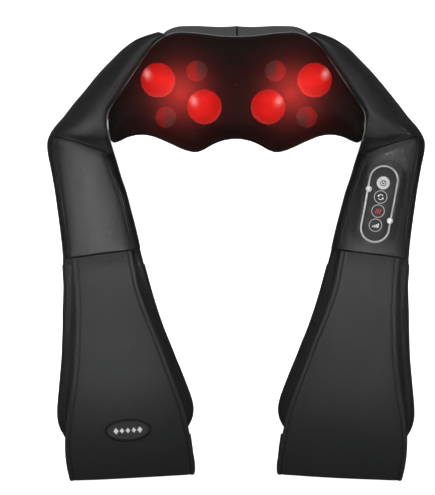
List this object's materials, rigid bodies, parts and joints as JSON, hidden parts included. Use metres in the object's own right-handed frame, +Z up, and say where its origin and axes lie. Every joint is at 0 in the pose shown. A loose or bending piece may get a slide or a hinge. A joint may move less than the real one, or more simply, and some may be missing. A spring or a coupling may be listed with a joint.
{
  "type": "shiatsu neck massager",
  "caption": "Worn neck massager: mesh-fronted kneading head with two counter-rotating rotors of red nodes, padded folding arms with hand loops and a button panel on one arm.",
  "frame": {"origin": "centre of the footprint at the resting plane, with the massager lying on its back", "axes": "+Z up out of the kneading face, +Y from the hand loops towards the head, +X towards the arm that carries the button panel"},
  "size_m": [0.522, 0.6296, 0.1138],
  "materials": {
    "leather_cover": "black grained faux leather",
    "strap_leather": "charcoal faux leather, hemmed and stitched",
    "mesh_fabric": "black breathable mesh",
    "foam": "polyurethane foam",
    "kneading_node": "translucent red plastic",
    "housing_plastic": "black moulded plastic",
    "gear_nylon": "natural nylon",
    "steel": "zinc plated",
    "motor_steel": "drawn steel can",
    "brass": "machined",
    "silver_trim": "silver plated plastic",
    "panel_plastic": "dark grey satin",
    "circuit_board": "green solder mask",
    "lamp_lens": "clear red",
    "badge_leather": "embossed, blank"
  },
  "bodies": {
    "head": {"head_back_cover": "leather_cover", "mesh_front_cover": "mesh_fabric", "gearbox_lower_housing": "housing_plastic", "gearbox_upper_deck": "housing_plastic", "deck_screw_1": "steel", "deck_screw_2": "steel", "deck_screw_3": "steel", "deck_screw_4": "steel", "motor_can": "motor_steel", "motor_strap": "steel", "left_idler_pin": "steel", "right_idler_pin": "steel", "left_rotor_bush": "brass", "right_rotor_bush": "brass", "left_lamp_board": "circuit_board", "right_lamp_board": "circuit_board", "left_lamp_lens": "lamp_lens", "right_lamp_lens": "lamp_lens", "left_shoulder_cover": "leather_cover", "right_shoulder_cover": "leather_cover", "left_shoulder_foam": "foam", "right_shoulder_foam": "foam"},
    "worm": {"worm_shaft": "brass"},
    "left_rotor": {"left_output_gear": "gear_nylon", "left_node_carrier": "housing_plastic"},
    "right_rotor": {"right_output_gear": "gear_nylon", "right_node_carrier": "housing_plastic"},
    "left_idler": {"left_idler_gear": "gear_nylon"},
    "right_idler": {"right_idler_gear": "gear_nylon"},
    "left_large_1": {"left_large_node_1": "kneading_node"},
    "left_large_2": {"left_large_node_2": "kneading_node"},
    "left_small_1": {"left_small_node_1": "kneading_node"},
    "left_small_2": {"left_small_node_2": "kneading_node"},
    "right_large_1": {"right_large_node_1": "kneading_node"},
    "right_large_2": {"right_large_node_2": "kneading_node"},
    "right_small_1": {"right_small_node_1": "kneading_node"},
    "right_small_2": {"right_small_node_2": "kneading_node"},
    "left_arm": {"left_upper_arm_cover": "leather_cover", "left_upper_arm_foam": "foam", "left_loop_back_pad": "leather_cover", "left_hand_strap": "strap_leather", "badge": "badge_leather"},
    "right_arm": {"right_upper_arm_cover": "leather_cover", "right_upper_arm_foam": "foam", "right_loop_back_pad": "leather_cover", "right_hand_strap": "strap_leather", "panel_tray": "housing_plastic", "button_board": "circuit_board", "panel_face": "panel_plastic", "trim_ring": "silver_trim", "trim_stud_1": "silver_trim", "trim_stud_2": "silver_trim", "supply_inlet": "housing_plastic"},
    "power_button": {"power_button": "silver_trim"},
    "direction_button": {"direction_button": "panel_plastic"},
    "heat_button": {"heat_button": "panel_plastic"},
    "intensity_button": {"intensity_button": "panel_plastic"}
  },
  "joints": [
    {"name": "left_rotor_spin", "type": "hinge", "parent": "head", "child": "left_rotor", "pos_m": [-0.075, 0.22045, 0.05], "axis": [0, 0, 1], "continuous": true},
    {"name": "right_rotor_spin", "type": "hinge", "parent": "head", "child": "right_rotor", "pos_m": [0.075, 0.22045, 0.05], "axis": [0, 0, 1], "continuous": true},
    {"name": "left_idler_spin", "type": "hinge", "parent": "head", "child": "left_idler", "pos_m": [-0.02, 0.22045, 0.02], "axis": [0, 0, 1], "continuous": true},
    {"name": "right_idler_spin", "type": "hinge", "parent": "head", "child": "right_idler", "pos_m": [0.02, 0.22045, 0.02], "axis": [0, 0, 1], "continuous": true},
    {"name": "worm_spin", "type": "hinge", "parent": "head", "child": "worm", "pos_m": [0, 0.22045, 0.03], "axis": [0, 1, 0], "continuous": true},
    {"name": "left_large_node_1_spin", "type": "hinge", "parent": "left_rotor", "child": "left_large_1", "pos_m": [-0.10661, 0.2387, 0.0812], "axis": [0, 0, 1], "continuous": true},
    {"name": "left_large_node_2_spin", "type": "hinge", "parent": "left_rotor", "child": "left_large_2", "pos_m": [-0.04339, 0.2022, 0.0812], "axis": [0, 0, 1], "continuous": true},
    {"name": "left_small_node_1_spin", "type": "hinge", "parent": "left_rotor", "child": "left_small_1", "pos_m": [-0.05375, 0.25195, 0.0725], "axis": [0, 0, 1], "continuous": true},
    {"name": "left_small_node_2_spin", "type": "hinge", "parent": "left_rotor", "child": "left_small_2", "pos_m": [-0.09625, 0.18895, 0.0725], "axis": [0, 0, 1], "continuous": true},
    {"name": "right_large_node_1_spin", "type": "hinge", "parent": "right_rotor", "child": "right_large_1", "pos_m": [0.10661, 0.2387, 0.0812], "axis": [0, 0, 1], "continuous": true},
    {"name": "right_large_node_2_spin", "type": "hinge", "parent": "right_rotor", "child": "right_large_2", "pos_m": [0.04339, 0.2022, 0.0812], "axis": [0, 0, 1], "continuous": true},
    {"name": "right_small_node_1_spin", "type": "hinge", "parent": "right_rotor", "child": "right_small_1", "pos_m": [0.05375, 0.25195, 0.0725], "axis": [0, 0, 1], "continuous": true},
    {"name": "right_small_node_2_spin", "type": "hinge", "parent": "right_rotor", "child": "right_small_2", "pos_m": [0.09625, 0.18895, 0.0725], "axis": [0, 0, 1], "continuous": true},
    {"name": "left_arm_fold", "type": "hinge", "parent": "head", "child": "left_arm", "pos_m": [-0.2165, 0.15495, 0.0626], "axis": [-1, 0, 0], "range_deg": [0, 90]},
    {"name": "right_arm_fold", "type": "hinge", "parent": "head", "child": "right_arm", "pos_m": [0.2165, 0.15495, 0.0626], "axis": [-1, 0, 0], "range_deg": [0, 90]},
    {"name": "power_press", "type": "slide", "parent": "right_arm", "child": "power_button", "axis": [0, -0.165, 0.9863], "range_m": [-0.001, 0], "stiffness_N_per_m": 1500, "springref_m": 0.0003},
    {"name": "direction_press", "type": "slide", "parent": "right_arm", "child": "direction_button", "axis": [0, -0.165, 0.9863], "range_m": [-0.001, 0], "stiffness_N_per_m": 1500, "springref_m": 0.0003},
    {"name": "heat_press", "type": "slide", "parent": "right_arm", "child": "heat_button", "axis": [0, -0.165, 0.9863], "range_m": [-0.001, 0], "stiffness_N_per_m": 1500, "springref_m": 0.0003},
    {"name": "intensity_press", "type": "slide", "parent": "right_arm", "child": "intensity_button", "axis": [0, -0.165, 0.9863], "range_m": [-0.001, 0], "stiffness_N_per_m": 1500, "springref_m": 0.0003}
  ],
  "couplings": [
    {"joint": "right_rotor_spin", "follows": "left_rotor_spin", "ratio": -1},
    {"joint": "left_idler_spin", "follows": "left_rotor_spin", "ratio": -5.1111},
    {"joint": "right_idler_spin", "follows": "left_rotor_spin", "ratio": 5.1111},
    {"joint": "worm_spin", "follows": "left_rotor_spin", "ratio": 117.56}
  ]
}
